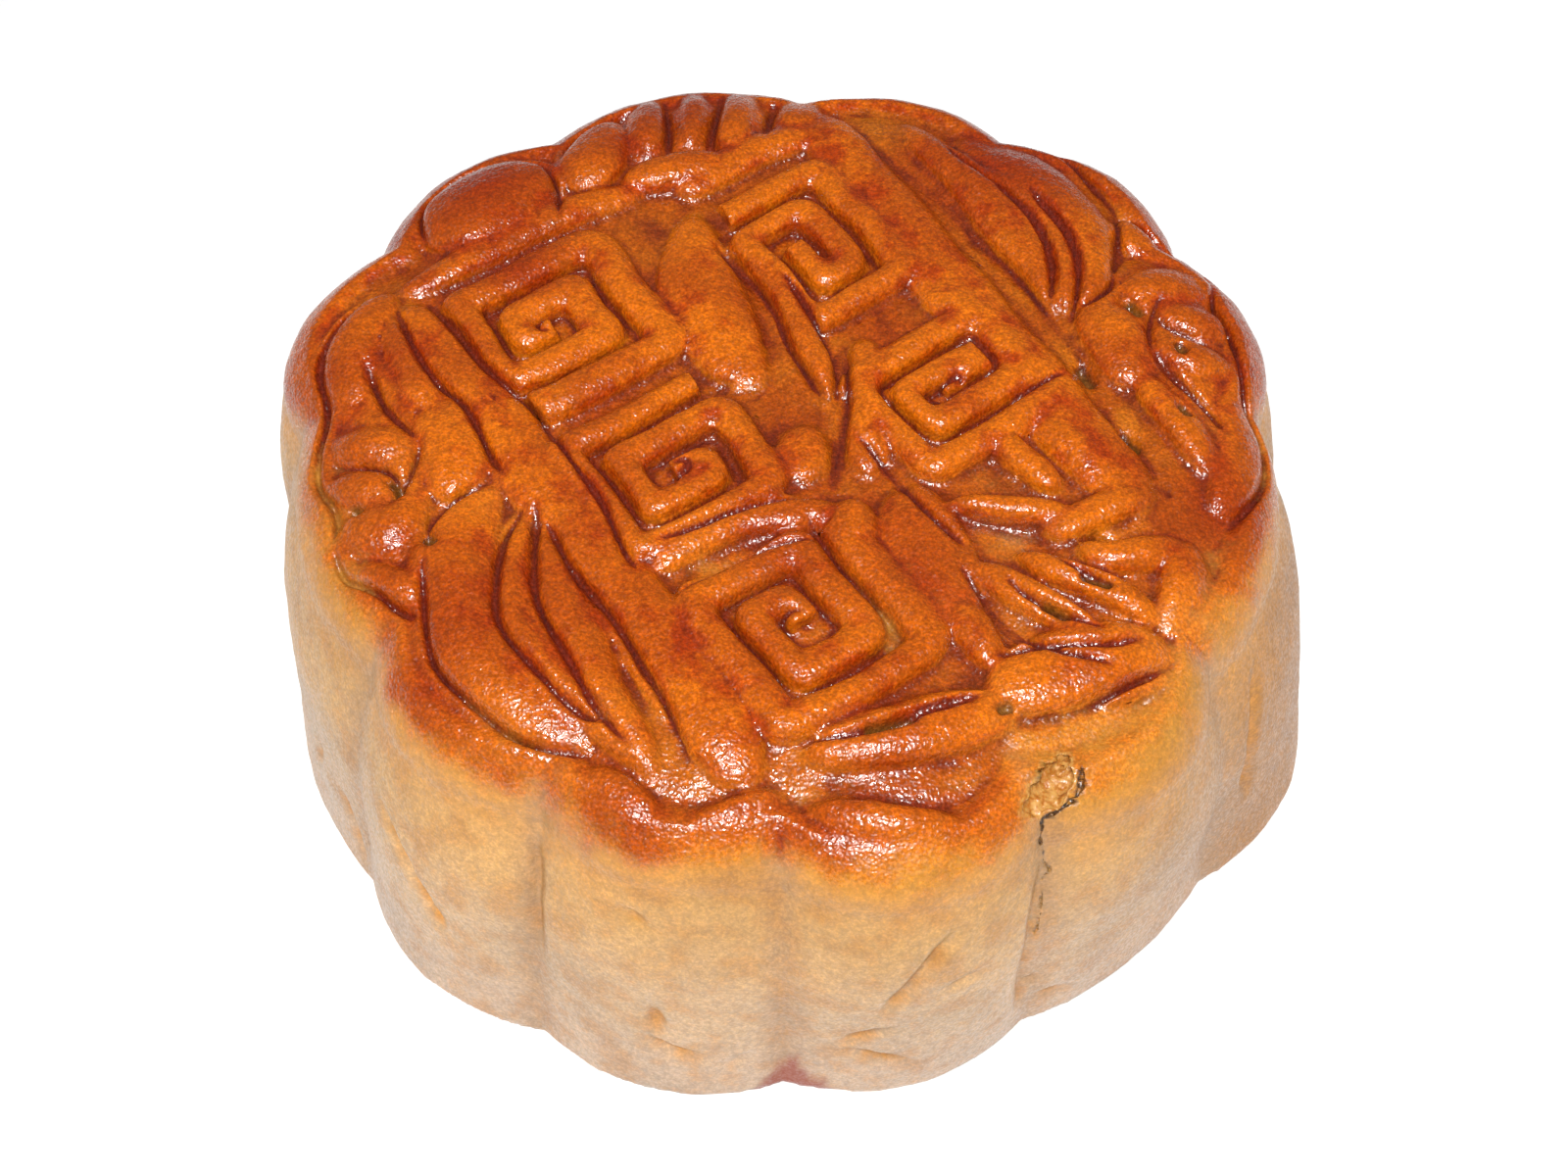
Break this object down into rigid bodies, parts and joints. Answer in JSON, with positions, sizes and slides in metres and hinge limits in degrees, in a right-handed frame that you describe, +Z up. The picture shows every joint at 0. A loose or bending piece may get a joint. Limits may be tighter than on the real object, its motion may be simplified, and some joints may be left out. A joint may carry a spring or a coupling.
{
  "type": "mooncake",
  "caption": "Lobed mooncake with a pressed top of leaves, petals and square scrolls, and a small tear in its crust.",
  "frame": {"origin": "middle of the flat base, at the lowest point", "axes": "+Z up through the ornamented top, -Y towards the side with the torn blister, +X to the right seen from there"},
  "size_m": [0.0802, 0.0806, 0.034],
  "materials": {
    "crust": "egg-washed baked crust, glossy orange-brown on top and matte pale tan low on the wall"
  },
  "bodies": {
    "root": {"mooncake": "crust"}
  },
  "joints": []
}
